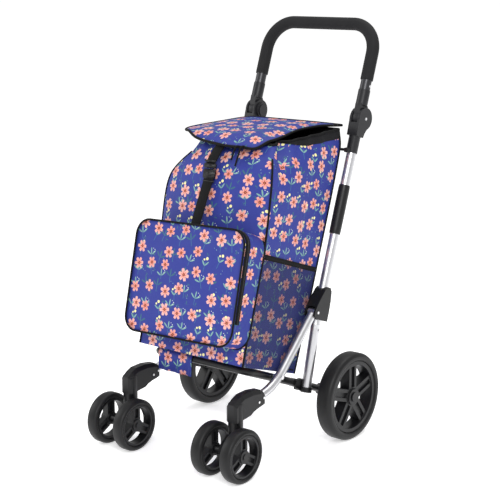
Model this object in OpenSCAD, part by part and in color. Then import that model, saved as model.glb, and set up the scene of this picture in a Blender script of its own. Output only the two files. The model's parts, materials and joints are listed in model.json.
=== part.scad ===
// Four-wheel folding shopping trolley with a fabric bag.
// Origin at the bottom centre of the whole object, +Z up, the twin casters lead toward -Y.
// Left pieces lie at -X and right pieces at +X.

/* [Overall size] */
// Height of the top of the grip above the floor, mm
handle_height = 936; // [925:1:1130]
// Distance over the outer faces of the rear wheels, mm
overall_width = 451; // [424:1:560]
// Diameter of the rear wheels, mm
rear_wheel_dia = 200; // [186:1:240]
// Width of a rear tyre, mm
rear_wheel_width = 38.6; // [34:0.1:40]
// Diameter of a caster wheel, mm
caster_wheel_dia = 115.6; // [96:0.1:117]
// Width of a caster tyre, mm
caster_wheel_width = 27.9; // [24:0.1:28.4]

/* [Frame] */
// Distance between the centre lines of the two uprights, mm
frame_width = 304; // [304:1:316]
// Diameter of an upright tube, mm
tube_dia = 22; // [18:0.1:22.4]
// Diameter of a front leg tube, mm
leg_dia = 20; // [17:0.1:20.4]
// Diameter of the tube of the handle, mm
handle_tube_dia = 24.6; // [20:0.1:25]
// Diameter of the foam grip, mm
grip_dia = 29; // [27:0.1:33]
// Bend radius of the handle's corners, mm
handle_corner = 66; // [40:1:70]
// Diameter of the base tube, mm
base_tube_dia = 17; // [14:0.1:17.2]
// Trail of a caster wheel behind its swivel axis, mm
caster_trail = 30; // [24:0.5:31]

/* [Bag] */
// Width of the bag at its front, mm
bag_width = 300; // [240:1:302]
// Depth of the bag at its base, mm
bag_depth = 206; // [180:1:208]
// Height of the bag along its back, mm
bag_height = 555; // [535:1:560]
// Thickness of the padded wall, mm
wall = 3.5; // [2:0.1:5]
// Height of the side pockets of net, mm
mesh_height = 242; // [180:1:260]

/* [Hidden] */
$fn = 48;
fit = 0.05;
lean = 19;
foot_lean = 13.08;
bag_lean = 17.9;
base_slope = 21.3;
tube_r = tube_dia / 2;
leg_r = leg_dia / 2;
base_r = base_tube_dia / 2;
rear_r = rear_wheel_dia / 2;
caster_r = caster_wheel_dia / 2;
handle_r = handle_tube_dia / 2;
grip_r = grip_dia / 2;
half = frame_width / 2;
leg_x = half + 2;
arm_x = half - 13.1 - base_r;
fork_x = half - 20;
lift = rear_r - 100;
wheel_x = (overall_width - rear_wheel_width) / 2;
wheel_gap = 25.65 + caster_wheel_width / 2;
bend = [-53, 268];
foot = [-86, 126];
top_s = (handle_height - grip_r - lift - bend[1]) / cos(lean);
top_y = bend[0] + top_s * sin(lean);
socket_top = 539;
grip_s = socket_top + 23.155;
pivot_s = 475;
pivot_v = 9;
leg_v = -tube_r - 11.7;
leg_s = 26;
leg_pivot = [bend[0] + leg_s * sin(lean) + leg_v * cos(lean), bend[1] + leg_s * cos(lean) - leg_v * sin(lean)];
leg_run = 155.6;
leg_bend = 130;
leg_turn = 32;
bend_start = leg_pivot - leg_run * [cos(45), sin(45)];
bend_centre = bend_start + leg_bend * [-sin(45), cos(45)];
bend_end = bend_centre + leg_bend * [cos(-45 - leg_turn), sin(-45 - leg_turn)];
leg_end = bend_end + 38 * [-cos(45 - leg_turn), -sin(45 - leg_turn)];
ring = bend_centre + leg_bend * [cos(-52), sin(-52)];
column_y = -333;
caster_y = column_y - caster_trail;
base_pivot = [-104, 141];
base_reach = 180.3;
front_y = caster_y - caster_r;
shift = -(front_y + top_y + grip_r) / 2;
front_v = -bag_depth / 2;
bag_k = bag_height / 555;
bag_half = bag_width / 2;
bag_taper = atan(13 / bag_depth);

// Placing: on the floor, on the frame, along the uprights and in the leaning bag
module floored() translate([0, shift, 0]) children();
module framed() translate([0, shift, lift]) children();
module along() framed() translate([0, bend[0], bend[1]]) rotate([-lean, 0, 0]) children();
module bagged() framed() translate([0, -207.5, 195.5]) rotate([-bag_lean, 0, 0]) children();
module based() framed() translate([0, base_pivot[0], base_pivot[1]]) rotate([-base_slope, 0, 0]) children();
module pair() {
    children();
    mirror([1, 0, 0]) children();
}

// A plate or round bar that starts at x0 and runs toward +X
module plate(x0, t) translate([x0, 0, 0]) rotate([90, 0, 90]) linear_extrude(t) children();
module bar(x0, y, z, r, t) translate([x0, y, z]) rotate([0, 90, 0]) cylinder(r = r, h = t);
module rod(p, q, r) {
    d = q - p;
    translate(p) rotate([0, acos(d[2] / norm(d)), atan2(d[1], d[0])]) cylinder(r = r, h = norm(d));
}

// Uprights: a leaning tube that turns steeper at the leg joint
module upright_shape() framed() difference() {
    union() {
        rod([half, foot[0], foot[1]], [half, bend[0] - 1.2 * sin(foot_lean), bend[1] - 1.2 * cos(foot_lean)], tube_r);
        translate([half, bend[0], bend[1]]) sphere(r = tube_r + 0.3);
        translate([half, bend[0], bend[1]]) rotate([-lean, 0, 0]) translate([0, 0, 1.2]) cylinder(r = tube_r, h = 444);
    }
    bar(half + 4, bend[0] - 12 * sin(foot_lean), bend[1] - 12 * cos(foot_lean), 3.5 + fit, 20);
}
module left_upright() color("silver") mirror([1, 0, 0]) upright_shape();
module right_upright() color("silver") upright_shape();

// Barrel-shaped lock collars half way up
module collar_shape() along() translate([half, 0, 207]) rotate_extrude()
    polygon([
        [tube_r + fit, 0],
        [tube_r + 1.4, 0],
        [tube_r + 1.9, 8],
        [tube_r + 2.2, 56],
        [tube_r + 1.9, 104],
        [tube_r + 1.3, 112],
        [tube_r + fit, 112],
    ]);
module lock_collars() color("black") pair() collar_shape();

// Lower half of the folding hinge: a socket on the tube, two cheeks and a button housing
module lower_hinge_shape() along() difference() {
    union() {
        plate(half - 13.5, 27) union() {
            translate([pivot_v, pivot_s]) circle(r = 25);
            polygon([[-13.4, 432], [-15.5, pivot_s - 8], [-13, pivot_s + 6], [pivot_v, pivot_s + 10], [31, pivot_s - 6], [16, 443], [13.4, 432]]);
        }
        translate([half, 0, 393]) cylinder(r = 13, h = 45);
        bar(half - 18.9, pivot_v, pivot_s, 18, 6);
    }
    translate([half, 0, 380]) cylinder(r = tube_r + fit, h = 65.6);
    plate(half - 8.3, 16.6) union() {
        translate([pivot_v, pivot_s]) circle(r = 23.4);
        polygon([[-40, pivot_s], [-40, 530], [60, 530], [60, pivot_s - 31], [pivot_v + 1, pivot_s - 31], [pivot_v - 9, pivot_s - 21.5]]);
    }
    bar(half - 25, pivot_v, pivot_s, 14.1, 10.4);
    bar(half - 16, pivot_v, pivot_s, 3.2 + fit, 40);
}
module left_lower_hinge() color("dimgray") mirror([1, 0, 0]) lower_hinge_shape();
module right_lower_hinge() color("dimgray") lower_hinge_shape();

// Pins of the folding hinge, which show as small round ends outside
module hinge_pins() color("silver") pair() along() bar(half - 14.4, pivot_v, pivot_s, 3.2, 29.2);

// Upper half of the folding hinge: a tongue, a neck and the socket of the handle tube
module upper_hinge_shape() along() difference() {
    union() {
        bar(half - 8, pivot_v, pivot_s, 23, 16);
        plate(half - 8, 16) polygon([[-12, pivot_s + 6], [-13, 506], [13, 506], [26, pivot_s + 14], [pivot_v, pivot_s]]);
        translate([half, 0, 503]) cylinder(r = 13.6, h = socket_top - 503);
    }
    translate([half, 0, 508]) cylinder(r = handle_r + fit, h = 40);
    bar(half - 9, pivot_v, pivot_s, 3.2 + fit, 18);
}
module left_upper_hinge() color("dimgray") mirror([1, 0, 0]) upper_hinge_shape();
module right_upper_hinge() color("dimgray") upper_hinge_shape();

// One bent bar that both the tube and the foam of the handle follow
module handle_path(s0, r) {
    pair() {
        translate([half, 0, top_s - handle_corner]) mirror([0, 0, 1])
            cylinder(r = r, h = top_s - handle_corner - s0);
        translate([half - handle_corner, 0, top_s - handle_corner]) rotate([90, 0, 0])
            rotate_extrude(angle = 90) translate([handle_corner, 0]) circle(r = r);
    }
    bar(handle_corner - half, 0, top_s, r, 2 * (half - handle_corner));
}
module handle_tube() color("dimgray") along() handle_path(508.2, handle_r);
module handle_grip() color("black") along() difference() {
    handle_path(grip_s, grip_r);
    handle_path(grip_s - 2, handle_r + fit);
}
module handle_rivets() color("silver") pair() along() bar(half + handle_r + 0.05, 0, socket_top + 9, 3, 1);

// Round release button in the inner face of each hinge
module release_button_shape() along() bar(half - 21.6, pivot_v, pivot_s, 14, 3.9);
module left_release_button() color("dimgray") mirror([1, 0, 0]) release_button_shape();
module right_release_button() color("dimgray") release_button_shape();

// Foot clamp: a cap on the tube's end, a lug for the base pivot and the seat of the rear fork
module foot_clamp_shape() framed() difference() {
    union() {
        rod([half, foot[0] - 1.6, foot[1] - 7], [half, foot[0] + 1, foot[1] + 4.3], tube_r + 2);
        plate(half - 12.7, 4) polygon([[-113, 133], [-110, 149], [-98, 150], [-72, 141], [-76, 121], [-92, 121]]);
        translate([fork_x - 9.5, -93, 121]) cube([17, 19, 22]);
    }
    rod([half, foot[0] - 0.1, foot[1] - 0.43], [half, foot[0] + 20, foot[1] + 86.1], tube_r + fit);
    rod([fork_x, -86.2, 133.9], [fork_x, 0, 100], 8 + fit);
    bar(half - 20, base_pivot[0], base_pivot[1], 4 + fit, 20);
}
module foot_clamps() color("black") pair() foot_clamp_shape();
module base_pivot_pins() color("silver") pair() framed() {
    bar(arm_x - base_r - 0.4, base_pivot[0], base_pivot[1], 4, 2 * base_r + 4.8);
    bar(arm_x - base_r - 3, base_pivot[0], base_pivot[1], 7, 2.6);
}

// Rear forks carry the axle behind the feet
module rear_fork_shape() framed() difference() {
    union() {
        rod([fork_x, -86, 133.82], [fork_x, 0, 100], 8);
        bar(fork_x - 9, 0, 100, 13, 18);
    }
    bar(fork_x - 12, 0, 100, 8.5 + fit, 24);
}
module rear_forks() color("black") pair() rear_fork_shape();
module rear_axle() color("black") framed() {
    bar(-wheel_x + 17.5, 0, 100, 8.5, 2 * wheel_x - 35);
    pair() bar(wheel_x - 18, 0, 100, 6, 35.5);
}
module axle_caps() color("black") pair() framed() bar(wheel_x + 17.6, 0, 100, 11, 2.6);

// Rod between the uprights from which the bag hangs
rod_at = [-207.5 + (bag_height - 42) * sin(bag_lean) + 113.4 * cos(bag_lean), 195.5 + (bag_height - 42) * cos(bag_lean) - 113.4 * sin(bag_lean)];
module hanging_rod() color("dimgray") framed() bar(-half - 5, rod_at[0], rod_at[1], 3.2, 2 * half + 10);
module rod_pegs() color("black") pair() difference() {
    framed() translate([half - 4.5, rod_at[0] - 6, rod_at[1] - 5]) cube([9, 22, 10]);
    framed() bar(half - 9, rod_at[0], rod_at[1], 3.2 + fit, 20);
    along() translate([half, 0, 300]) cylinder(r = 13 + fit, h = 150);
}

// Sliding leg joint: a sleeve on the upright with a forked lobe for the leg
module leg_joint_shape() along() difference() {
    union() {
        plate(half - 12.5, 29) polygon([
            [leg_v - 11, 16], [leg_v - 11, 29], [leg_v - 7, 42], [-22, 60], [-12, 80], [-5, 86.5], [5, 86.5],
            [12, 79], [16, 58], [18, 34], [18, 11], [-12, 11], [leg_v, 13],
        ]);
        translate([half, 0, 11]) cylinder(r = tube_r + 3.4, h = 69);
    }
    translate([half, 0, 5]) cylinder(r = tube_r + 0.06, h = 90);
    translate([leg_x - 10.4, -60, -1]) cube([20.8, 60 - tube_r - 2, 38.5]);
    bar(half - 20, leg_v, leg_s, 3.2 + fit, 40);
}
module left_leg_joint() color("black") mirror([1, 0, 0]) leg_joint_shape();
module right_leg_joint() color("black") leg_joint_shape();
module leg_pins() color("silver") pair() along() bar(half - 12.5, leg_v, leg_s, 3.2, 30);

// Snap button in the tube below each leg joint
module lock_button_shape() framed()
    bar(half + 7.2, bend[0] - 12 * sin(foot_lean), bend[1] - 12 * cos(foot_lean), 3.5, tube_r - 4.8);
module left_lock_button() color("silver") mirror([1, 0, 0]) lock_button_shape();
module right_lock_button() color("silver") lock_button_shape();

// Front leg: straight from the joint, then one bend toward the floor
module front_leg_shape() framed() difference() {
    union() {
        bar(leg_x - 9, leg_pivot[0], leg_pivot[1], 9, 18);
        rod([leg_x, leg_pivot[0] - 4.6, leg_pivot[1] - 4.6], [leg_x, bend_start[0] - 0.7, bend_start[1] - 0.7], leg_r);
        translate([leg_x, bend_centre[0], bend_centre[1]]) rotate([90, 0, 90]) rotate([0, 0, -45 - leg_turn])
            rotate_extrude(angle = leg_turn) translate([leg_bend, 0]) circle(r = leg_r + 0.02);
        rod([leg_x, bend_end[0] + 0.97, bend_end[1] + 0.23], [leg_x, leg_end[0], leg_end[1]], leg_r);
    }
    bar(leg_x - 12, leg_pivot[0], leg_pivot[1], 3.2 + fit, 24);
    bar(leg_x - 12, ring[0], ring[1], 3.5 + fit, 24);
}
module left_front_leg() color("silver") mirror([1, 0, 0]) front_leg_shape();
module right_front_leg() color("silver") front_leg_shape();
module ring_bolts() color("silver") pair() framed() {
    bar(arm_x + base_r + 0.5, ring[0], ring[1], 3.5, leg_x - arm_x - base_r + leg_r + 0.5);
    bar(leg_x + leg_r + 0.1, ring[0], ring[1], 4.5, 1.4);
}

// Elbow: a moulding on the leg's end that turns down to the swivel column
module elbow_shape() framed() difference() {
    union() {
        hull() {
            plate(leg_x - 8, 16) polygon([
                [-252, 130], [-252, 164], [-263, 170.5], [-292, 174], [-322, 172], [-336, 165.5], [-349, 156], [-349, 117.6],
            ]);
            plate(leg_x - 14.5, 29) polygon([
                [-253, 130], [-253, 157], [-265, 163], [-292, 166], [-320, 164], [-334, 158], [-345, 150], [-345, 117.6],
            ]);
        }
        translate([leg_x, column_y, 98]) cylinder(r = 16, h = 58);
    }
    plate(leg_x - 20, 40) polygon([
        [-240, 139], [-252, 139], [-262, 136.2], [-277, 133.4], [-290, 129.3], [-301, 122.8], [-308, 117.6], [-316.6, 117.6], [-316.6, 112], [-240, 112],
    ]);
    rod([leg_x, leg_end[0], leg_end[1]], [leg_x, leg_end[0] + 40 * cos(45 - leg_turn), leg_end[1] + 40 * sin(45 - leg_turn)], leg_r + fit);
    translate([leg_x, column_y, 90]) cylinder(r = 6 + fit, h = 50);
}
module left_elbow() color("black") mirror([1, 0, 0]) elbow_shape();
module right_elbow() color("black") elbow_shape();
module elbow_rivets() color("silver") pair() framed() {
    bar(leg_x + 15.05, -257, 152, 2.6, 1);
    bar(leg_x + 15.05, -273, 146, 2.6, 1);
    bar(leg_x - 16.05, -257, 152, 2.6, 1);
    bar(leg_x - 16.05, -273, 146, 2.6, 1);
}

// Swivelling caster fork between its two wheels
module caster_fork_shape() floored() difference() {
    union() {
        translate([leg_x, column_y, caster_r - 2]) cylinder(r = 15.6, h = 99.6 - caster_r + lift);
        translate([leg_x, column_y, 90 + lift]) cylinder(r = 6, h = 47);
        plate(leg_x - 13, 26) polygon([
            [column_y + 12, 94 + lift], [column_y + 13, caster_r + 6], [column_y - 8, caster_r - 12], [caster_y, caster_r - 13],
            [caster_y - 13, caster_r], [caster_y - 6, caster_r + 14], [column_y - 14, 88 + lift],
        ]);
        bar(leg_x - 25.3, caster_y, caster_r, 10.5, 50.6);
    }
    bar(leg_x - 30, caster_y, caster_r, 4 + fit, 60);
}
module left_caster_fork() color("black") mirror([1, 0, 0]) caster_fork_shape();
module right_caster_fork() color("black") caster_fork_shape();
module caster_axle_shape() floored() {
    bar(leg_x - wheel_gap - 11.6, caster_y, caster_r, 4, 2 * wheel_gap + 23.2);
    bar(leg_x - wheel_gap - 13.2, caster_y, caster_r, 6.5, 1.6);
    bar(leg_x + wheel_gap + 11.6, caster_y, caster_r, 6.5, 1.6);
}
module left_caster_axle() color("silver") mirror([1, 0, 0]) caster_axle_shape();
module right_caster_axle() color("silver") caster_axle_shape();

// Wheels: a hub and rim joined by wide ribbed spokes, and a tyre with rounded shoulders
module wheel_core(r_in, r_out, w, hub_r, hub_w, bore, count, spoke, groove) rotate([0, 90, 0]) difference() {
    union() {
        translate([0, 0, -hub_w / 2]) cylinder(r = hub_r, h = hub_w);
        translate([0, 0, -w / 2]) difference() {
            cylinder(r = r_out, h = w);
            translate([0, 0, -1]) cylinder(r = r_in, h = w + 2);
        }
        translate([0, 0, 3 - w / 2]) linear_extrude(w - 6)
            for (i = [0:count - 1]) rotate(i * 360 / count + 180 / count) translate([0, -spoke / 2]) square([r_in + 3, spoke]);
    }
    for (i = [0:count - 1], k = [0, 1]) rotate([0, 0, i * 360 / count + 180 / count]) mirror([0, 0, k])
        translate([hub_r + 3, -groove / 2, w / 2 - 8]) cube([r_in - hub_r - 6, groove, 9]);
    translate([0, 0, -hub_w]) cylinder(r = bore, h = 2 * hub_w);
}
module tyre(r_in, r, w, e) rotate([0, 90, 0]) rotate_extrude()
    polygon([
        [r_in, -w / 2 + 3], [r_in + 3, -w / 2], [r - e, -w / 2], [r - e * 0.3, -w / 2 + e * 0.3], [r, -w / 2 + e],
        [r, w / 2 - e], [r - e * 0.3, w / 2 - e * 0.3], [r - e, w / 2], [r_in + 3, w / 2], [r_in, w / 2 - 3],
    ]);
module rear_wheel_shape() floored() translate([wheel_x, 0, rear_r])
    wheel_core(rear_r - 27, rear_r - 18, rear_wheel_width - 7, 19, 34.6, 6 + fit, 5, 28, 12);
module rear_tyre_shape() floored() translate([wheel_x, 0, rear_r]) tyre(rear_r - 18 + fit, rear_r, rear_wheel_width, 8);
module caster_hub_shape(k) floored() translate([leg_x + k * wheel_gap, caster_y, caster_r])
    wheel_core(caster_r - 17, caster_r - 12, caster_wheel_width - 5, 14, 22.9, 4 + fit, 3, 22, 10);
module caster_tyre_shape(k) floored() translate([leg_x + k * wheel_gap, caster_y, caster_r])
    tyre(caster_r - 12 + fit, caster_r, caster_wheel_width, 6.5);
module left_rear_wheel() color("black") mirror([1, 0, 0]) rear_wheel_shape();
module left_rear_tyre() color("black") mirror([1, 0, 0]) rear_tyre_shape();
module right_rear_wheel() color("black") rear_wheel_shape();
module right_rear_tyre() color("black") rear_tyre_shape();
module left_outer_caster_hub() color("black") mirror([1, 0, 0]) caster_hub_shape(1);
module left_outer_caster_tyre() color("black") mirror([1, 0, 0]) caster_tyre_shape(1);
module left_inner_caster_hub() color("black") mirror([1, 0, 0]) caster_hub_shape(-1);
module left_inner_caster_tyre() color("black") mirror([1, 0, 0]) caster_tyre_shape(-1);
module right_inner_caster_hub() color("black") caster_hub_shape(-1);
module right_inner_caster_tyre() color("black") caster_tyre_shape(-1);
module right_outer_caster_hub() color("black") caster_hub_shape(1);
module right_outer_caster_tyre() color("black") caster_tyre_shape(1);

// Base bar: a U-shaped tube that swings down from the feet and carries the bag
module base_bar() color("black") based() {
    pair() difference() {
        union() {
            bar(arm_x - base_r, 0, 0, 9.5, 2 * base_r);
            translate([arm_x, -6, 0]) rotate([90, 0, 0]) cylinder(r = base_r, h = base_reach - 26);
            translate([arm_x - 20, 20 - base_reach, 0]) rotate([0, 0, -90]) rotate_extrude(angle = 90) translate([20, 0]) circle(r = base_r);
        }
        bar(arm_x - 20, 0, 0, 4 + fit, 40);
    }
    bar(20 - arm_x, -base_reach, 0, base_r, 2 * (arm_x - 20));
}
module bar_tab() color("royalblue") based() translate([-113, -base_reach, 0]) difference() {
    union() {
        bar(0, 0, 0, base_r + 0.6, 99);
        rotate([base_slope, 0, 0]) translate([0, -base_r - 0.6, -38]) cube([99, 0.9, 38]);
    }
    bar(-1, 0, 0, base_r + 0.1, 101);
}

// Bag: one leaning shell, open at the top, that bulges at the front
module section(u, v, bulge, x, w) translate([0, 0, u * bag_k]) linear_extrude(0.01) polygon([
    [-x + w, front_v + v + w], [-x * 0.6 + w, front_v + bulge + w], [x * 0.6 - w, front_v + bulge + w], [x - w, front_v + v + w],
    [bag_half - 13 - w, bag_depth / 2 + 5 - w], [13 - bag_half + w, bag_depth / 2 + 5 - w],
]);
module bag_form(w, up, floor_u) hull() {
    translate([0, 0, floor_u]) linear_extrude(0.01) polygon([
        [-bag_half + w, front_v + w], [bag_half - w, front_v + w],
        [bag_half - 13 - w, -front_v - w], [13 - bag_half + w, -front_v - w],
    ]);
    section(282, -9, -41, bag_half - 1, w);
    section(405, -22, -40, bag_half - 5, w);
    translate([0, 86 - w, (555 - 0.01) * bag_k + up]) linear_extrude(0.01) square([2 * (bag_half - 12 - w), 0.02], center = true);
    translate([0, -91 + w, 484 * bag_k + up]) linear_extrude(0.01) square([2 * (bag_half * 0.7 - w), 0.02], center = true);
    translate([0, -116 + w, 480 * bag_k + up]) linear_extrude(0.01) square([2 * (bag_half * 0.33 - w), 0.02], center = true);
    translate([0, bag_depth / 2 + 5 - w, 515 * bag_k]) linear_extrude(0.01) square([2 * (bag_half - 13 - w), 0.02], center = true);
}
module bag_body() color("royalblue") bagged() difference() {
    bag_form(0, 0, 0);
    bag_form(wall, 12, 4);
}
module base_board() color("black") bagged() translate([0, 0, 4.1]) linear_extrude(3)
    polygon([
        [8 - bag_half, front_v + 8], [bag_half - 8, front_v + 8],
        [bag_half - 22, -front_v - 8], [22 - bag_half, -front_v - 8],
    ]);
module hanging_sleeve() color("black") bagged() translate([0, 113.4, bag_height - 42]) difference() {
    union() {
        bar(-110, 0, 0, 5, 220);
        translate([-110, -5, -32]) cube([220, 1.6, 32]);
    }
    bar(-111, 0, 0, 3.2 + fit, 222);
}
module mesh_shape() bagged() translate([bag_half + 0.2, front_v + 2, 2]) rotate([0, 0, bag_taper])
    cube([1.4, bag_depth - 21, mesh_height]);
module left_mesh_pocket() color("navy") mirror([1, 0, 0]) mesh_shape();
module right_mesh_pocket() color("navy") mesh_shape();
module front_pocket() color("royalblue") bagged() difference() {
    plate(-bag_half - 3, bag_width + 6) polygon([
        [-153, 30], [-161, 34], [-182, 250], [-178, 264], [-105, 266], [-96, 30],
    ]);
    bag_form(-0.2, 0, 0);
    pair() translate([bag_half - 0.6, front_v - 3, 0]) cube([40, 200, 400]);
}

// Lid flap hung at the back of the bag's mouth, pulled a little to the left
lid_back = [-207.5 + bag_height * sin(bag_lean) + 86 * cos(bag_lean), 195.5 + bag_height * cos(bag_lean) - 86 * sin(bag_lean)];
module lidded() framed() translate([0, lid_back[0] + 2, lid_back[1] + 4]) rotate([3.6, 0, 0]) children();
module bag_lid() color("royalblue") lidded() scale([bag_width / 300, 1, 1]) linear_extrude(4) polygon([
    [146, -2], [116, -22], [86, -54], [89, -103], [96, -156], [100, -208], [90, -238], [40, -250], [-20, -248], [-100, -214], [-186, -148], [-199, -112], [-184, -60], [-146, -2],
]);
module lid_strap() color("black") lidded() translate([-13, -282.4, -44.6]) rotate([-35, 0, 0]) cube([26, 2, 53]);
module buckle_plug() color("black") lidded() translate([-16, -289.1, -57]) rotate([-16.6, 0, 0]) cube([32, 8, 12]);
module pocket_strap() color("black") framed() translate([-13, -262, 510]) rotate([-13, 0, 0]) cube([26, 2, 94]);
module buckle_socket() color("black") framed() translate([-16, -243, 604]) rotate([-13, 0, 0]) cube([32, 9, 22]);

left_upright();
right_upright();
lock_collars();
left_lower_hinge();
right_lower_hinge();
hinge_pins();
left_upper_hinge();
right_upper_hinge();
handle_tube();
handle_grip();
handle_rivets();
left_release_button();
right_release_button();
foot_clamps();
base_pivot_pins();
rear_forks();
rear_axle();
axle_caps();
hanging_rod();
rod_pegs();
left_leg_joint();
right_leg_joint();
leg_pins();
left_lock_button();
right_lock_button();
left_front_leg();
right_front_leg();
left_elbow();
right_elbow();
elbow_rivets();
ring_bolts();
left_caster_fork();
right_caster_fork();
left_caster_axle();
right_caster_axle();
left_outer_caster_hub();
left_outer_caster_tyre();
left_inner_caster_hub();
left_inner_caster_tyre();
right_inner_caster_hub();
right_inner_caster_tyre();
right_outer_caster_hub();
right_outer_caster_tyre();
left_rear_wheel();
left_rear_tyre();
right_rear_wheel();
right_rear_tyre();
base_bar();
bar_tab();
bag_body();
base_board();
hanging_sleeve();
left_mesh_pocket();
right_mesh_pocket();
front_pocket();
bag_lid();
lid_strap();
buckle_plug();
pocket_strap();
buckle_socket();
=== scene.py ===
"""Finishes, soft parts and stage of a folding four-wheel shopping trolley."""
import json
import math

import bmesh
import bpy
from mathutils import Matrix, Vector, noise


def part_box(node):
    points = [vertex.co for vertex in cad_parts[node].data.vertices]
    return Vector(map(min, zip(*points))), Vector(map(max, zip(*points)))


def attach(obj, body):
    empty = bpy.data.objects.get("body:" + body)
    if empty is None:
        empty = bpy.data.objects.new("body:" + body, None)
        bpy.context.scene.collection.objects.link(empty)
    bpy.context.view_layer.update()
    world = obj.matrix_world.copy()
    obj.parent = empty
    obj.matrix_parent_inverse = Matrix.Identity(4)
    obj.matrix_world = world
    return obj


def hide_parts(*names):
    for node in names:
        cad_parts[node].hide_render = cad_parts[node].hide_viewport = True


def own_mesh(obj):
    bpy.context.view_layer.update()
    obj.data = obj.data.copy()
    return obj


bl_info = {
    "name": "Floral shopping trolley",
    "version": (1, 0, 0),
    "blender": (4, 5, 0),
    "location": "3D View > Sidebar > Trolley",
    "description": "Builds the soft parts, finishes and stage around the trolley's frame",
    "category": "Object",
}

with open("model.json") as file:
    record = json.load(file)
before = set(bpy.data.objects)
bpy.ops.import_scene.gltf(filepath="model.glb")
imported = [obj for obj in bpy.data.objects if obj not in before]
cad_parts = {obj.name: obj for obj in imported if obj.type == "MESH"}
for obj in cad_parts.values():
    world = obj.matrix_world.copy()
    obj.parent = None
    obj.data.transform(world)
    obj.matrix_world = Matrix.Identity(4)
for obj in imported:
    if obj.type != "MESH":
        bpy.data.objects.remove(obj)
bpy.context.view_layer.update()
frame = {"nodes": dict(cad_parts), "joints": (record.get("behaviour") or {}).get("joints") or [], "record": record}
TAU = 2 * math.pi


def middle(node):
    low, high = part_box(node)
    return (Vector(low) + Vector(high)) / 2


# The bag leans back between the uprights; x runs across it, v to its back and u up along it
AXLE_Y = middle("rear_axle").y
BAG_LEAN = math.radians(17.9)
BAG_FOOT = Vector((0, AXLE_Y - 0.2075, 0.1955))
BAG_UP = Vector((0, math.sin(BAG_LEAN), math.cos(BAG_LEAN)))
BAG_BACK = Vector((0, math.cos(BAG_LEAN), -math.sin(BAG_LEAN)))
BAG_TOP = 0.553
MOUTH_FRONT = 0.474


def bag_point(x, v, u):
    return BAG_FOOT + Vector((x, 0, 0)) + BAG_BACK * v + BAG_UP * u


def ramp(t, low, high):
    t = min(1, max(0, (t - low) / (high - low)))
    return t * t * (3 - 2 * t)


def along_keys(keys, at):
    """Value between (place, value, ...) keys, eased, so that a profile has no kinks."""
    for i, (a, b) in enumerate(zip(keys, keys[1:])):
        if at <= b[0]:
            before, after = keys[max(i - 1, 0)], keys[min(i + 2, len(keys) - 1)]
            long = b[0] - a[0]
            t = max(0, (at - a[0]) / long)
            values = []
            for o, p, q, r in zip(before[1:], a[1:], b[1:], after[1:]):
                leave = (q - o) / (b[0] - before[0]) * long
                arrive = (r - p) / (after[0] - a[0]) * long
                eased = p + (q - p) * t * t * (3 - 2 * t)
                values.append(eased + leave * t * (1 - t) ** 2 - arrive * t * t * (1 - t))
            return values
    return list(keys[-1][1:])


# ---------------------------------------------------------------- shader expressions
class Field:
    """A socket of a material that takes part in arithmetic."""

    def __init__(self, tree, socket):
        self.tree = tree
        self.socket = socket

    def node(self, kind, settings=None, **inputs):
        """Adds a node: its settings, then the values or links of its inputs, by name or as _number."""
        made = self.tree.nodes.new(kind)
        for key, value in (settings or {}).items():
            if key == "stops":
                ramp_ = made.color_ramp
                while len(ramp_.elements) < len(value):
                    ramp_.elements.new(0.5)
                for stop, (place, colour) in zip(ramp_.elements, value):
                    stop.position = place
                    stop.color = (*colour, 1)
            else:
                setattr(made, key, value)
        for key, value in inputs.items():
            name = int(key[1:]) if key[0] == "_" else key.replace("_", " ")
            target = made.inputs[name]
            if isinstance(value, Field):
                self.tree.links.new(value.socket, target)
            else:
                target.default_value = value
        return made

    def out(self, kind, output=0, settings=None, **inputs):
        return Field(self.tree, self.node(kind, settings, **inputs).outputs[output])

    def math(self, operation, *values):
        places = {f"_{i}": v for i, v in enumerate((self, *values))}
        return self.out("ShaderNodeMath", settings={"operation": operation}, **places)

    def vector(self, operation, *values, output=0):
        places = {f"_{i}": v for i, v in enumerate((self, *values))}
        return self.out("ShaderNodeVectorMath", output, {"operation": operation}, **places)

    def swap(self, other, operation):
        made = self.node("ShaderNodeMath", {"operation": operation}, _0=other, _1=self)
        return Field(self.tree, made.outputs[0])

    def __add__(self, other):
        return self.math("ADD", other)

    __radd__ = __add__

    def __sub__(self, other):
        return self.math("SUBTRACT", other)

    def __rsub__(self, other):
        return self.swap(other, "SUBTRACT")

    def __mul__(self, other):
        return self.math("MULTIPLY", other)

    __rmul__ = __mul__

    def __truediv__(self, other):
        return self.math("DIVIDE", other)

    def __pow__(self, other):
        return self.math("POWER", other)

    def __lt__(self, other):
        return self.math("LESS_THAN", other)

    def __gt__(self, other):
        return self.math("GREATER_THAN", other)

    def __abs__(self):
        return self.math("ABSOLUTE")

    def sin(self):
        return self.math("SINE")

    def cos(self):
        return self.math("COSINE")

    def most(self, other):
        return self.math("MAXIMUM", other)

    def parts(self):
        made = self.node("ShaderNodeSeparateXYZ", _0=self)
        return [Field(self.tree, o) for o in made.outputs]

    def soft(self, low, high):
        """0 at low, 1 at high, smooth between."""
        return self.out(
            "ShaderNodeMapRange", 0, {"interpolation_type": "SMOOTHSTEP"}, _0=self, _1=low, _2=high, _3=0.0, _4=1.0
        )


def mixed(mask, below, above):
    """Colour above where mask is 1 and below where it is 0."""
    settings = {"data_type": "RGBA", "blend_type": "MIX"}
    made = mask.node("ShaderNodeMix", settings, _0=mask, _6=below, _7=above)
    return Field(mask.tree, made.outputs[2])


def new_material(name):
    material = bpy.data.materials.new(name)
    material.use_nodes = True
    tree = material.node_tree
    shader = tree.nodes["Principled BSDF"]
    return material, Field(tree, shader.outputs[0]), shader


def plug(field, shader, name):
    field.tree.links.new(field.socket, shader.inputs[name])


def bumped(start, shader, height, strength, distance):
    bump = start.out("ShaderNodeBump", Strength=strength, Distance=distance, Height=height)
    plug(bump, shader, "Normal")


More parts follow.
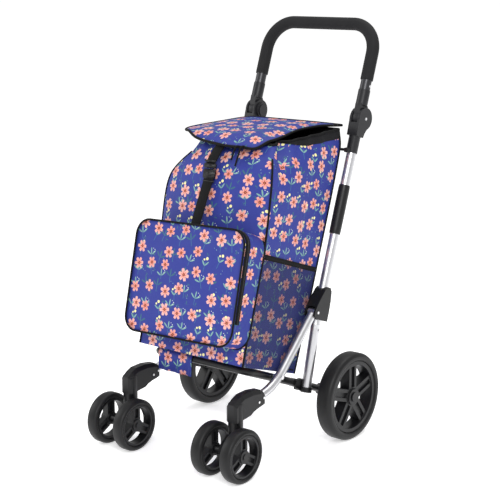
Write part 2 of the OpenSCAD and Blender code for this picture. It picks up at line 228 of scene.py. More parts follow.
def plain(name, colour, rough, metal=0.0, grain=0.0, grain_size=900.0, spread=0.06, coat=0.0):
    """A solid finish whose roughness wanders a little, with an optional fine grain."""
    material, start, shader = new_material(name)
    shader.inputs["Base Color"].default_value = (*colour, 1)
    shader.inputs["Metallic"].default_value = metal
    shader.inputs["Coat Weight"].default_value = coat
    shader.inputs["Specular IOR Level"].default_value = 0.5 if metal else 0.32
    place = start.out("ShaderNodeTexCoord", "Object")
    wander = start.out("ShaderNodeTexNoise", 0, Vector=place, Scale=35.0, Detail=3.0)
    plug(rough + (wander - 0.5) * spread * 2, shader, "Roughness")
    if grain:
        fine = start.out("ShaderNodeTexNoise", 0, Vector=place, Scale=grain_size, Detail=2.0)
        bumped(start, shader, fine, grain, 0.0004)
    return material


def brushed_tube(name, colour):
    """Satin anodised tube with faint drawn lines along its length."""
    material, start, shader = new_material(name)
    shader.inputs["Metallic"].default_value = 1.0
    shader.inputs["Base Color"].default_value = (*colour, 1)
    place = start.out("ShaderNodeTexCoord", "Object")
    x, y, z = place.parts()
    streak = start.out("ShaderNodeCombineXYZ", _0=x * 900, _1=y * 900, _2=z * 6)
    lines = start.out("ShaderNodeTexNoise", 0, Vector=streak, Scale=1.0, Detail=2.0)
    plug(0.27 + lines * 0.12, shader, "Roughness")
    bumped(start, shader, lines, 0.05, 0.0002)
    return material


def webbing(name, colour, pitch=0.0022):
    """Woven black tape: ribs across it and a finer twill."""
    material, start, shader = new_material(name)
    x, y, _ = start.out("ShaderNodeUVMap", 0, {"uv_map": "cloth"}).parts()
    rib = (y * (TAU / pitch)).sin() * 0.5 + (x * (TAU / pitch) + y * (TAU / pitch)).sin() * 0.25
    shader.inputs["Base Color"].default_value = (*colour, 1)
    shader.inputs["Roughness"].default_value = 0.75
    shader.inputs["Specular IOR Level"].default_value = 0.18
    bumped(start, shader, rib, 0.5, 0.0004)
    return material


def fan(x, y, reach, blades):
    """Leaves that spread like a fan above the point (0, 0)."""
    turn = x.math("ARCTAN2", y)
    far = (x * x + y * y) ** 0.5
    blade = abs((turn * blades).cos()) ** 3
    return (far < blade * reach) * (abs(turn) < 1.15) * (far > reach * 0.12)


def spot(x, y, cx, cy, r):
    dx, dy = x - cx, y - cy
    return (dx * dx + dy * dy) < r * r


def leaf(x, y, cx, cy, turn, long, wide):
    c, s = math.cos(turn), math.sin(turn)
    dx, dy = x - cx, y - cy
    p, q = (dx * c + dy * s) / long, (dy * c - dx * s) / wide
    return (p * p + q * q) < 1.0


def scattered(start, place, spacing, jitter, shift):
    """Cells of a loose lattice: the place inside the cell and three random numbers for it."""
    moved = place.vector("ADD", (shift[0], shift[1], 0.0))
    cell = start.node(
        "ShaderNodeTexVoronoi",
        {"voronoi_dimensions": "2D", "feature": "F1"},
        Vector=moved,
        Scale=1 / spacing,
        Randomness=jitter,
    )
    centre = Field(start.tree, cell.outputs["Position"])
    chance = Field(start.tree, cell.outputs["Color"]).parts()
    x, y, _ = moved.vector("SUBTRACT", centre).parts()
    return x, y, chance


def turned(x, y, angle):
    c, s = angle.cos(), angle.sin()
    return x * c - y * s, x * s + y * c


def floral(name, looks, dim=1.0, holes=False):
    """Printed cloth: six-petalled flowers, pale sprigs, buds and dark ferns on a blue ground."""
    material, start, shader = new_material(name)
    place = start.out("ShaderNodeUVMap", 0, {"uv_map": "cloth"})
    step = looks.flower_spacing
    ground = tuple(c * dim for c in looks.cloth_colour)
    coral = tuple(c * dim for c in looks.flower_colour)
    peach = (0.72 * dim, 0.41 * dim, 0.38 * dim, 1)
    pale = (0.17 * dim, 0.33 * dim, 0.30 * dim, 1)
    green = (0.03 * dim, 0.13 * dim, 0.14 * dim, 1)
    cream = (0.78 * dim, 0.72 * dim, 0.33 * dim, 1)

    x, y, chance = scattered(start, place, step * 0.86, 0.5, (0.021, 0.018))
    x, y = turned(x, y, (chance[2] - 0.5) * 0.7)
    fern = fan(x, y + 0.006, 0.0165, 3.3)
    stalk = (abs(x) < 0.0005) * (abs(y + 0.008) < 0.011)
    buds = spot(x, y, -0.0040, 0.0080, 0.0023).most(spot(x, y, 0.0030, 0.0112, 0.0033))
    leaves = leaf(x, y, 0.0046, 0.0005, 0.85, 0.0064, 0.0017)
    leaves = leaves.most(leaf(x, y, -0.0046, 0.0005, TAU / 2 - 0.85, 0.0064, 0.0017))
    grain = spot(x, y, 0.0105, 0.0055, 0.0011).most(spot(x, y, 0.0085, 0.0010, 0.0010))
    grain = grain.most(spot(x, y, 0.0062, 0.0085, 0.0009))
    bud_cell = chance[0] > 0.60
    pale_cell = (chance[0] < 0.60) * (chance[0] > 0.20)
    colour = mixed((fern.most(stalk) * (chance[0] < 0.20)) * 0.85, (*ground[:3], 1), green)
    colour = mixed(stalk * 0.75, colour, (0.05 * dim, 0.20 * dim, 0.26 * dim, 1))
    colour = mixed((fern * pale_cell).most(leaves * bud_cell), colour, pale)
    colour = mixed(grain * pale_cell, colour, (0.62 * dim, 0.66 * dim, 0.62 * dim, 1))
    colour = mixed(buds * bud_cell, colour, cream)
    x, y, chance = scattered(start, place, step * 0.5, 0.9, (0.4, 0.3))
    x, y = turned(x, y, chance[2] * TAU)
    small = fan(x, y + 0.003, 0.0085, 2.4) * (chance[0] < 0.42)
    colour = mixed(small * 0.75, colour, green)
    seed = spot(x, y, 0.004, 0.003, 0.0010).most(spot(x, y, -0.003, 0.004, 0.0008)) * (chance[1] < 0.22)
    colour = mixed(seed, colour, pale)

    x, y, chance = scattered(start, place, step, 0.42, (0.0, 0.0))
    far = (x * x + y * y) ** 0.5
    turn = y.math("ARCTAN2", x) + chance[1] * TAU
    lobe = abs((turn * 3).cos())
    edge = looks.flower_size * (0.90 + 0.2 * chance[0]) * (0.30 + 0.70 * lobe**0.75 - 0.10 * lobe**16)
    flower = (far < edge) * (chance[2] > 0.07)
    near = far / looks.flower_size
    petals = mixed(chance[0] * 0.9, coral, peach)
    warm = (0.82 * dim, 0.25 * dim, 0.12 * dim, 1)
    petals = mixed((near.soft(0.75, 0.25) * (0.4 + 0.6 * lobe)) * 0.55, petals, warm)
    petals = mixed((lobe**8) * near.soft(0.62, 0.30) * 0.9, petals, (0.42 * dim, 0.05 * dim, 0.05 * dim, 1))
    heart = near < (0.19 + 0.07 * lobe)
    petals = mixed(heart, petals, (0.20 * dim, 0.020 * dim, 0.025 * dim, 1))
    petals = mixed(heart * (near < 0.08), petals, (0.50 * dim, 0.20 * dim, 0.05 * dim, 1))
    colour = mixed(flower, colour, petals)
    plug(colour, shader, "Base Color")
    shader.inputs["Roughness"].default_value = 0.62
    shader.inputs["Specular IOR Level"].default_value = 0.35
    u, v, _ = place.parts()
    weave = (u * (TAU / 0.0011)).sin() + (v * (TAU / 0.0011)).sin()
    wide = start.out("ShaderNodeTexNoise", 0, Vector=place, Scale=24.0, Detail=2.0)
    bumped(start, shader, weave * 0.04 + wide * 3, 0.35, looks.crease)
    if holes:
        mesh_u = ((u + v) * (TAU / 0.0032)).sin()
        mesh_v = ((u - v) * (TAU / 0.0032)).sin()
        plug(1 - (mesh_u * mesh_v).soft(0.30, 0.34), shader, "Alpha")
    return material


def net(name, colour):
    """Diamond net: threads with open holes between them."""
    material, start, shader = new_material(name)
    u, v, _ = start.out("ShaderNodeUVMap", 0, {"uv_map": "cloth"}).parts()
    across = abs(((u + v) * (TAU / 0.0052)).sin())
    along = abs(((u - v) * (TAU / 0.0052)).sin())
    hole = (across > 0.36) * (along > 0.36)
    plug(1 - hole, shader, "Alpha")
    shader.inputs["Base Color"].default_value = (*colour, 1)
    shader.inputs["Roughness"].default_value = 0.7
    return material


# ---------------------------------------------------------------- mesh helpers
def mesh_object(name, points, faces, materials, smooth=True):
    mesh = bpy.data.meshes.new(name)
    mesh.from_pydata([tuple(p) for p in points], [], faces)
    mesh.validate()
    made = bmesh.new()
    made.from_mesh(mesh)
    bmesh.ops.remove_doubles(made, verts=made.verts, dist=1e-6)
    bmesh.ops.recalc_face_normals(made, faces=made.faces)
    made.to_mesh(mesh)
    made.free()
    for material in materials:
        mesh.materials.append(material)
    for face in mesh.polygons:
        face.use_smooth = smooth
    thing = bpy.data.objects.new(name, mesh)
    bpy.context.scene.collection.objects.link(thing)
    return thing


def lay_cloth(thing, origin=BAG_FOOT, up=BAG_UP, back=BAG_BACK, offset=(0.0, 0.0)):
    """Writes the cloth map in metres: each face is laid flat along the way it faces."""
    mesh = thing.data
    layer = mesh.uv_layers.get("cloth") or mesh.uv_layers.new(name="cloth")
    for face in mesh.polygons:
        n = face.normal
        side, rear, top = abs(n.x), abs(n.dot(back)), abs(n.dot(up))
        for loop in face.loop_indices:
            p = mesh.vertices[mesh.loops[loop].vertex_index].co - origin
            if rear >= side and rear >= top:
                flat = (p.x, p.dot(up))
            elif side >= top:
                flat = (p.dot(back) * (1 if n.x > 0 else -1) + 0.31, p.dot(up) + 0.07)
            else:
                flat = (p.x, p.dot(back) + 0.5)
            layer.data[loop].uv = (flat[0] + offset[0], flat[1] + offset[1])


def strip_faces(rows, columns, closed):
    faces = []
    for r in range(rows - 1):
        for c in range(columns if closed else columns - 1):
            d = (c + 1) % columns
            faces.append((r * columns + c, r * columns + d, (r + 1) * columns + d, (r + 1) * columns + c))
    return faces


def apply_modifiers(thing):
    """Turns the evaluated object into its plain mesh."""
    bpy.context.view_layer.update()
    graph = bpy.context.evaluated_depsgraph_get()
    done = bpy.data.meshes.new_from_object(
        thing.evaluated_get(graph), preserve_all_data_layers=True, depsgraph=graph
    )
    old = thing.data
    thing.modifiers.clear()
    thing.data = done
    bpy.data.meshes.remove(old)
    return thing


def thicken(thing, thickness, lining=0):
    solid = thing.modifiers.new("cloth thickness", "SOLIDIFY")
    solid.thickness = thickness
    solid.offset = -1
    solid.material_offset = lining
    solid.material_offset_rim = lining
    return apply_modifiers(thing)


def tube_tree():
    """Geometry nodes that sweep a round profile along the mesh's edges."""
    name = "Swept cord"
    if name in bpy.data.node_groups:
        return bpy.data.node_groups[name]
    tree = bpy.data.node_groups.new(name, "GeometryNodeTree")
    face = tree.interface
    face.new_socket("Geometry", in_out="INPUT", socket_type="NodeSocketGeometry")
    face.new_socket("Radius", in_out="INPUT", socket_type="NodeSocketFloat")
    face.new_socket("Sides", in_out="INPUT", socket_type="NodeSocketInt")
    face.new_socket("Finish", in_out="INPUT", socket_type="NodeSocketMaterial")
    face.new_socket("Geometry", in_out="OUTPUT", socket_type="NodeSocketGeometry")
    add, link = tree.nodes.new, tree.links.new
    given, result = add("NodeGroupInput"), add("NodeGroupOutput")
    path, ring = add("GeometryNodeMeshToCurve"), add("GeometryNodeCurvePrimitiveCircle")
    sweep, smooth = add("GeometryNodeCurveToMesh"), add("GeometryNodeSetShadeSmooth")
    paint, real = add("GeometryNodeSetMaterial"), add("GeometryNodeRealizeInstances")
    sweep.inputs["Fill Caps"].default_value = True
    link(given.outputs["Geometry"], path.inputs["Mesh"])
    link(given.outputs["Radius"], ring.inputs["Radius"])
    link(given.outputs["Sides"], ring.inputs["Resolution"])
    link(path.outputs["Curve"], sweep.inputs["Curve"])
    link(ring.outputs["Curve"], sweep.inputs["Profile Curve"])
    link(sweep.outputs["Mesh"], smooth.inputs["Geometry"])
    link(smooth.outputs["Geometry"], real.inputs["Geometry"])
    link(real.outputs["Geometry"], paint.inputs["Geometry"])
    link(given.outputs["Finish"], paint.inputs["Material"])
    link(paint.outputs["Geometry"], result.inputs["Geometry"])
    return tree


def set_inputs(modifier, values):
    for item in modifier.node_group.interface.items_tree:
        if item.item_type == "SOCKET" and item.in_out == "INPUT" and item.name in values:
            modifier[item.identifier] = values[item.name]


def cords(name, paths, radius, material, closed=False, sides=10):
    """One mesh of round cords that follow the given paths."""
    points, edges = [], []
    for path in paths:
        first = len(points)
        points += [tuple(p) for p in path]
        edges += [(first + i, first + i + 1) for i in range(len(path) - 1)]
        if closed:
            edges.append((len(points) - 1, first))
    mesh = bpy.data.meshes.new(name)
    mesh.from_pydata(points, edges, [])
    thing = bpy.data.objects.new(name, mesh)
    bpy.context.scene.collection.objects.link(thing)
    sweep = thing.modifiers.new("sweep", "NODES")
    sweep.node_group = tube_tree()
    set_inputs(sweep, {"Radius": radius, "Sides": sides, "Finish": material})
    apply_modifiers(thing)
    if not thing.data.materials:
        thing.data.materials.append(material)
    made = bmesh.new()
    made.from_mesh(thing.data)
    bmesh.ops.recalc_face_normals(made, faces=made.faces)
    made.to_mesh(thing.data)
    made.free()
    return thing


def ribbon(name, path, width, thickness, material, across=Vector((1, 0, 0))):
    """A flat tape of the given width that follows a path, with its map in metres."""
    rows, out = [], []
    for i, p in enumerate(path):
        ahead = (path[min(i + 1, len(path) - 1)] - path[max(i - 1, 0)]).normalized()
        out.append(across.cross(ahead).normalized() * thickness / 2)
        half = across * width / 2
        bevel = across * (width / 2 - thickness * 0.3)
        o = out[-1]
        rows.append([p - half, p - bevel + o, p + bevel + o, p + half, p + bevel - o, p - bevel - o])
    points = [q for row in rows for q in row]
    n = len(rows[0])
    faces = strip_faces(len(rows), n, True) + [tuple(range(n)), tuple(range(len(points) - n, len(points)))]
    thing = mesh_object(name, points, faces, [material])
    layer = thing.data.uv_layers.new(name="cloth")
    start = path[0]
    lengthwise = (path[-1] - path[0]).normalized()
    for loop in thing.data.loops:
        p = thing.data.vertices[loop.vertex_index].co - start
        layer.data[loop.index].uv = (p.dot(across), p.dot(lengthwise))
    return thing


def smooth_path(keys, count):
    """Points on a smooth curve through the key points."""
    path = []
    for i in range(len(keys) - 1):
        a, b = keys[max(i - 1, 0)], keys[i]
        c, d = keys[i + 1], keys[min(i + 2, len(keys) - 1)]
        for k in range(count):
            t = k / count
            square = (2 * a - 5 * b + 4 * c - d) * t * t
            cube = (3 * b - a - 3 * c + d) * t**3
            path.append(0.5 * (2 * b + (c - a) * t + square + cube))
    path.append(keys[-1])
    return path


def block(name, corner, size, turn, at, material, bevel=0.0015):
    """A box with rounded edges, turned about X and moved to its place."""
    made = bmesh.new()
    bmesh.ops.create_cube(made, size=1)
    for v in made.verts:
        v.co = Vector((v.co[k] + 0.5) * size[k] for k in range(3)) + Vector(corner)
    bmesh.ops.bevel(made, geom=made.edges[:], offset=bevel, segments=3, affect="EDGES")
    bmesh.ops.rotate(made, verts=made.verts, cent=(0, 0, 0), matrix=Matrix.Rotation(turn, 3, "X"))
    bmesh.ops.translate(made, verts=made.verts, vec=at)
    mesh = bpy.data.meshes.new(name)
    made.to_mesh(mesh)
    made.free()
    mesh.materials.append(material)
    thing = bpy.data.objects.new(name, mesh)
    bpy.context.scene.collection.objects.link(thing)
    for face in mesh.polygons:
        face.use_smooth = True
    return thing


def joined(name, things):
    """One object from several, with its own mesh."""
    made = bmesh.new()
    slots = []
    for thing in things:
        material = thing.data.materials[0]
        if material not in slots:
            slots.append(material)
        first = len(made.faces)
        made.from_mesh(thing.data)
        made.faces.ensure_lookup_table()
        for face in made.faces[first:]:
            face.material_index = slots.index(material)
    mesh = bpy.data.meshes.new(name)
    made.to_mesh(mesh)
    made.free()
    for material in slots:
        mesh.materials.append(material)
    for thing in things:
        bpy.data.objects.remove(thing)
    whole = bpy.data.objects.new(name, mesh)
    bpy.context.scene.collection.objects.link(whole)
    return whole


def shared(name, make):
    """The named material, made once."""
    return bpy.data.materials.get(name) or make()


def printed_cloth():
    return shared("Printed cloth", lambda: floral("Printed cloth", bpy.context.scene.trolley))


def black_tape():
    return shared("Black tape", lambda: webbing("Black tape", (0.003, 0.003, 0.0035)))


def lining():
    return shared("Black lining", lambda: plain("Black lining", (0.003, 0.003, 0.0045), 0.85))


def clip_plastic():
    return shared("Clip plastic", lambda: plain("Clip plastic", (0.006, 0.006, 0.007), 0.36, grain=0.1))


def fold_with_bag(thing):
    """Gives the piece its own copy of its mesh."""
    top = bag_point(0, 0, BAG_TOP)
    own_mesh(thing)


# ---------------------------------------------------------------- the bag
FRONT_CORNER = [
    (0.0, 0.1495, -0.102), (0.08, 0.1495, -0.105), (0.24, 0.149, -0.106), (0.355, 0.149, -0.120),
    (0.415, 0.144, -0.126), (0.455, 0.119, -0.106), (0.484, 0.104, -0.093),
]
LEFT_CORNER = [
    (0.0, 0.1495, -0.102), (0.08, 0.1495, -0.105), (0.24, 0.149, -0.106), (0.345, 0.148, -0.118),
    (0.385, 0.139, -0.122), (0.415, 0.121, -0.118), (0.445, 0.104, -0.104), (0.474, 0.096, -0.093),
]
BACK_CORNER = [(0.0, 0.1365, 0.102), (0.2, 0.136, 0.107), (0.515, 0.136, 0.107), (0.555, 0.1375, 0.086)]
FRONT_SWELL = [(0.0, 0.002), (0.2, 0.022), (0.282, 0.032), (0.355, 0.026), (0.42, 0.020), (0.484, 0.016)]
SIDE_SWELL = [(0.0, 0.0), (0.25, 0.001), (0.40, 0.006), (0.50, 0.003), (0.555, 0.0)]


def bag_surface(part, w, t, sign=1):
    """A point of the bag's wall: part is front, side or back, w runs across it and t up it."""
    if part == "front":
        u = t * MOUTH_FRONT
        across = 2 * w - 1
        sides = zip(along_keys(LEFT_CORNER, u), along_keys(FRONT_CORNER, u))
        x, v = (a + (b - a) * w for a, b in sides)
        swell = along_keys(FRONT_SWELL, u)[0]
        out = swell * (1 - abs(across) ** 2.4) ** 0.8
        folds = math.sin(w * 46 + 3 * math.sin(w * 9)) * (1 - abs(across) ** 4)
        gather = ramp(t, 0.80, 1.0) * 0.0045 * folds
        ripple = 0.0035 * noise.noise(Vector((w * 5, t * 7, 0.3))) * (1 - across**4)
        return bag_point(x * across, v - out + gather + ripple, u)
    if part == "side":
        u_front, u_back = t * MOUTH_FRONT, t * BAG_TOP
        xf, vf = along_keys(FRONT_CORNER if sign > 0 else LEFT_CORNER, u_front)
        xb, vb = along_keys(BACK_CORNER, u_back)
        u = u_front + (u_back - u_front) * w
        swell = along_keys(SIDE_SWELL, u)[0] * math.sin(math.pi * w)
        straight = ramp(w, 0.0, 1.0) * 0.35 + w * 0.65
        tuck = 0.024 * ramp(t, 0.80, 0.95) * math.exp(-(((w - 0.15) / 0.055) ** 2))
        gather = ramp(t, 0.82, 1.0) * 0.003 * math.sin(w * 30) * math.sin(math.pi * w)
        free = math.sin(math.pi * w) * ramp(t, 0.35, 0.6)
        ripple = 0.003 * noise.noise(Vector((w * 4 + 9, t * 6, sign * 2.0))) * free
        x = xf + (xb - xf) * straight + swell - tuck + gather + ripple
        return bag_point(sign * x, vf + (vb - vf) * w, u)
    u = t * BAG_TOP
    x, v = along_keys(BACK_CORNER, u)
    across = 2 * w - 1
    hollow = 0.003 * math.sin(math.pi * w) * math.sin(math.pi * t)
    return bag_point(x * across, v - hollow, u)


class TROLLEY_OT_bag(bpy.types.Operator):
    """Make the leaning bag with its gathered mouth and its black lining"""

    bl_idname = "trolley.bag"
    bl_label = "Bag"

    def execute(self, context):
        rows, n = 64, 30
        points = []
        for r in range(rows):
            t = r / (rows - 1)
            ring = [bag_surface("front", c / n, t) for c in range(n)]
            ring += [bag_surface("side", c / n, t, 1) for c in range(n)]
            ring += [bag_surface("back", 1 - c / n, t) for c in range(n)]
            ring += [bag_surface("side", 1 - c / n, t, -1) for c in range(n)]
            points += ring
        columns = 4 * n
        faces = strip_faces(rows, columns, True)
        centre = bag_point(0, 0, 0.001)
        for k in range(1, 8):
            first = len(points)
            points += [points[c].lerp(centre, k / 8) for c in range(columns)]
            base = 0 if k == 1 else first - columns
            for c in range(columns):
                d = (c + 1) % columns
                faces.append((base + c, first + c, first + d, base + d))
        points.append(centre)
        faces += [(first + c, len(points) - 1, first + (c + 1) % columns) for c in range(columns)]
        bag = mesh_object("bag", points, faces, [printed_cloth(), lining()])
        if bag.data.polygons[0].normal.dot(BAG_BACK) > 0:
            bag.data.flip_normals()
        thicken(bag, 0.0025, 1)
        lay_cloth(bag)
        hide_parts("bag_body")
        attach(bag, "frame")
        fold_with_bag(bag)
        corner, size = (-0.14, -0.094, 0.006), (0.28, 0.186, 0.003)
        board = block("bag_floor", corner, size, -BAG_LEAN, BAG_FOOT, lining(), 0.001)
        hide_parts("base_board")
        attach(board, "frame")
        fold_with_bag(board)
        return {"FINISHED"}


class TROLLEY_OT_piping(bpy.types.Operator):
    """Make the black piping along the bag's corners and mouth"""

    bl_idname = "trolley.piping"
    bl_label = "Bag piping"

    def execute(self, context):
        steps = 60
        radius = context.scene.trolley.piping
        paths = []
        for sign in (-1, 1):
            paths.append([bag_surface("side", 0.0, 0.93 * k / steps, sign) for k in range(steps + 1)])
            paths.append([bag_surface("side", 1.0, k / steps, sign) for k in range(steps + 1)])
        seams = cords("bag_piping", paths, radius, black_tape())
        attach(seams, "frame")
        fold_with_bag(seams)
        loop = [bag_surface("front", k / steps, 1.0) for k in range(steps)]
        loop += [bag_surface("side", k / steps, 1.0, 1) for k in range(steps)]
        loop += [bag_surface("back", 1 - k / steps, 1.0) for k in range(steps)]
        loop += [bag_surface("side", 1 - k / steps, 1.0, -1) for k in range(steps)]
        mouth = cords("mouth_binding", [loop], 0.003, black_tape(), closed=True)
        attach(mouth, "frame")
        fold_with_bag(mouth)
        return {"FINISHED"}


class TROLLEY_OT_collar(bpy.types.Operator):
    """Make the black band round the bag's mouth and the sleeve it hangs from"""

    bl_idname = "trolley.collar"
    bl_label = "Mouth band and sleeve"

    def execute(self, context):
        n, points = 40, []
        spans = [("side", 0.10, 1.0, 1), ("back", 1.0, 0.0, 1), ("side", 1.0, 0.10, -1)]
        for part, first, last, sign in spans:
            for k in range(n):
                w = first + (last - first) * k / (n - 1)
                deep = 0.018 * (ramp(w, 0.05, 0.55) if part == "side" else 1.0)
                high = BAG_TOP if part == "back" else MOUTH_FRONT + (BAG_TOP - MOUTH_FRONT) * w
                out = Vector((sign * 0.0014, 0, 0)) if part == "side" else BAG_BACK * 0.0014
                points.append([bag_surface(part, w, 1 - deep * r / 3 / high, sign) + out for r in range(4)])
        columns = len(points)
        flat = [p for column in points for p in column]
        band = mesh_object("mouth_band", flat, strip_faces(columns, 4, False), [lining()])
        thicken(band, 0.0012)
        lay_cloth(band)
        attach(band, "frame")
        fold_with_bag(band)
        rod = middle("hanging_rod")
        low, high = (Vector(c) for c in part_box("hanging_sleeve"))
        rows = []
        for c in range(31):
            x = low.x + (high.x - low.x) * c / 30
            wave = 0.0004 * math.sin(c * 1.9)
            reach = 0.0046 + wave
            turns = [k * TAU / 18 for k in range(1, 10)]
            ring = [
                rod + BAG_BACK * (reach * math.cos(a)) + BAG_UP * (reach * math.sin(a)) for a in turns
            ]
            ring += [rod - BAG_BACK * reach - BAG_UP * (0.004 * k + wave) for k in range(0, 8)]
            rows += [Vector((x, p.y, p.z)) for p in ring]
        faces = strip_faces(31, len(rows) // 31, False)
        sleeve = mesh_object("hanging_sleeve_cloth", rows, faces, [lining()])
        thicken(sleeve, 0.0012)
        lay_cloth(sleeve)
        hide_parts("hanging_sleeve")
        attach(sleeve, "frame")
        return {"FINISHED"}


# ---------------------------------------------------------------- the front pocket
POCKET_LOW, POCKET_HIGH, POCKET_HALF = 0.030, 0.275, 0.153
POCKET_CORNER = 0.034


def pocket_outline(count, inset=0.0):
    """Rounded rectangle (x, share of height) from the lower left corner round."""
    w, h = POCKET_HALF - inset, (POCKET_HIGH - POCKET_LOW) / 2 - inset
    r = POCKET_CORNER - inset * 0.5
    middle_u = (POCKET_HIGH + POCKET_LOW) / 2
    path = []
    for cx, cy, a in ((w - r, h - r, 0), (r - w, h - r, 90), (r - w, r - h, 180), (w - r, r - h, 270)):
        for k in range(count):
            turn = math.radians(a + 90 * k / (count - 1))
            path.append((cx + r * math.cos(turn), middle_u + cy + r * math.sin(turn)))
    tilt = math.radians(1.6)
    path = [(x, u + x * math.sin(tilt)) for x, u in path]
    dense = []
    for (x0, u0), (x1, u1) in zip(path, path[1:] + path[:1]):
        parts = max(1, round(math.hypot(x1 - x0, u1 - u0) / 0.009))
        dense += [(x0 + (x1 - x0) * k / parts, u0 + (u1 - u0) * k / parts) for k in range(parts)]
    return dense


def pocket_front(u):
    """How far forward the pocket's face stands at height u."""
    return -0.1595 - 0.0225 * (u - POCKET_LOW) / (POCKET_HIGH - POCKET_LOW)


def pocket_back(u):
    return -0.1005 - 0.006 * (u - POCKET_LOW) / (POCKET_HIGH - POCKET_LOW)


class TROLLEY_OT_pocket(bpy.types.Operator):
    """Make the padded front pocket with its zip and piping"""

    bl_idname = "trolley.pocket"
    bl_label = "Front pocket"

    def execute(self, context):
        outline = pocket_outline(9)
        count = len(outline)
        points, faces = [], []
        for d in range(9):
            share = d / 8
            for x, u in outline:
                v = pocket_back(u) + (pocket_front(u) - pocket_back(u)) * share
                pull = 0.003 * math.sin(math.pi * share)
                points.append(bag_point(x * (1 - pull), v, u))
        faces += strip_faces(9, count, True)
        rings = 12
        middle_u = (POCKET_HIGH + POCKET_LOW) / 2
        for k in range(1, rings):
            shrink = 1 - k / rings
            crown = 0.009 * (1 - shrink**2.2)
            for x, u in outline:
                px, pu = x * shrink, middle_u + (u - middle_u) * shrink
                ripple = 0.0025 * noise.noise(Vector((px * 30, pu * 26, 4.1))) * (1 - shrink**6)
                points.append(bag_point(px, pocket_front(pu) - crown + 0.004 + ripple, pu))
        first = len(points) - (rings - 1) * count
        for k in range(rings - 1):
            a = first - count if k == 0 else first + (k - 1) * count
            b = first + k * count
            faces += [(a + c, a + (c + 1) % count, b + (c + 1) % count, b + c) for c in range(count)]
        points.append(bag_point(0, pocket_front(middle_u) - 0.005, middle_u))
        last = len(points) - 1
        b = first + (rings - 2) * count
        faces += [(b + c, b + (c + 1) % count, last) for c in range(count)]
        faces.append(tuple(range(count)))
        pocket = mesh_object("front_pocket_cloth", points, faces, [printed_cloth()])
        lay_cloth(pocket, offset=(0.013, 0.009))
        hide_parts("front_pocket")
        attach(pocket, "frame")
        fold_with_bag(pocket)
        face = [bag_point(x, pocket_front(u) - 0.0005, u) for x, u in outline]
        rear = [bag_point(x * 1.002, pocket_back(u) - 0.004, u) for x, u in outline]
        radius = context.scene.trolley.piping * 0.95
        edge = cords("pocket_piping", [face, rear], radius, black_tape(), closed=True)
        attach(edge, "frame")
        fold_with_bag(edge)
        self.zip(outline)
        return {"FINISHED"}

    def zip(self, outline):
        """Black zip tape round the top and both sides, a line of coil and its long puller."""
        upper = [(x, u) for x, u in outline if u > POCKET_LOW + 0.05]
        start = max(range(len(upper) - 1), key=lambda i: math.dist(upper[i], upper[i + 1]))
        upper = upper[start + 1 :] + upper[: start + 1]
        points, faces = [], []
        for x, u in upper:
            front, back = pocket_front(u), pocket_back(u)
            a = front + (back - front) * 0.06
            b = front + (back - front) * 0.26
            out = Vector((x, 0, 0)) + BAG_UP * (u - (POCKET_HIGH + POCKET_LOW) / 2)
            out = out.normalized() * 0.0011
            points += [bag_point(x, a, u) + out, bag_point(x, b, u) + out]
        n = len(upper)
        faces = [(2 * i, 2 * i + 1, 2 * i + 3, 2 * i + 2) for i in range(n - 1)]
        tape = mesh_object("zip_tape", points, faces, [black_tape()])
        thicken(tape, 0.0012)
        lay_cloth(tape)
        middle_line = [points[2 * i].lerp(points[2 * i + 1], 0.5) for i in range(n)]
        coil = cords("zip_coil", [middle_line], 0.0013, clip_plastic())
        side = min(upper, key=lambda q: (abs(q[1] - 0.165) + (0 if q[0] < 0 else 1)))
        at = bag_point(side[0] - 0.004, pocket_front(side[1]) + 0.012, side[1])
        hang = ((0, 0, 0), (-0.006, 0.002, -0.010), (-0.009, 0.004, -0.030), (-0.010, 0.005, -0.044))
        pull = smooth_path([at + Vector(step) for step in hang], 6)
        puller = ribbon("zip_puller", pull, 0.0075, 0.003, clip_plastic(), Vector((0, 1, 0)))
        for piece in (tape, coil, puller):
            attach(piece, "frame")
            fold_with_bag(piece)


# ---------------------------------------------------------------- side pockets of net
class TROLLEY_OT_net_pockets(bpy.types.Operator):
    """Make the two side pockets of net with their black bands"""

    bl_idname = "trolley.net_pockets"
    bl_label = "Net side pockets"

    def execute(self, context):
        threads = shared("Dark net", lambda: net("Dark net", (0.012, 0.014, 0.05)))
        for side, sign in (("left", -1), ("right", 1)):
            rows, n = 24, 24
            height = 0.240
            points = []
            for r in range(rows + 1):
                for c in range(n + 1):
                    w = 0.012 + 0.976 * c / n
                    t = height * r / rows / (MOUTH_FRONT + (BAG_TOP - MOUTH_FRONT) * w)
                    p = bag_surface("side", w, t, sign)
                    stand = 0.0012 + 0.0006 * math.sin(math.pi * w)
                    points.append(p + Vector((sign * stand, 0, 0)))
            faces = strip_faces(rows + 1, n + 1, False)
            sheet = mesh_object(f"{side}_net", points, faces, [threads])
            if sheet.data.polygons[0].normal.x * sign < 0:
                sheet.data.flip_normals()
            lay_cloth(sheet)
            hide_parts(f"{side}_mesh_pocket")
            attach(sheet, "frame")
            fold_with_bag(sheet)
            top = points[-(n + 1) :]
            band_path = [p + Vector((sign * 0.0006, 0, 0)) - BAG_UP * 0.004 for p in top]
            band = ribbon(f"{side}_net_band", band_path, 0.011, 0.0022, black_tape(), BAG_UP)
            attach(band, "frame")
            fold_with_bag(band)
        return {"FINISHED"}


# ---------------------------------------------------------------- lid and straps
LID_OUTLINE = [
    (0.143, 0.002), (0.112, -0.022), (0.086, -0.050), (0.086, -0.100), (0.096, -0.156), (0.100, -0.208),
    (0.084, -0.242), (0.040, -0.252), (-0.010, -0.248), (-0.085, -0.232), (-0.140, -0.196),
    (-0.180, -0.158), (-0.197, -0.122), (-0.190, -0.075), (-0.168, -0.035),
    (-0.146, 0.004), (-0.075, 0.007), (0.0, 0.008), (0.075, 0.007),
]


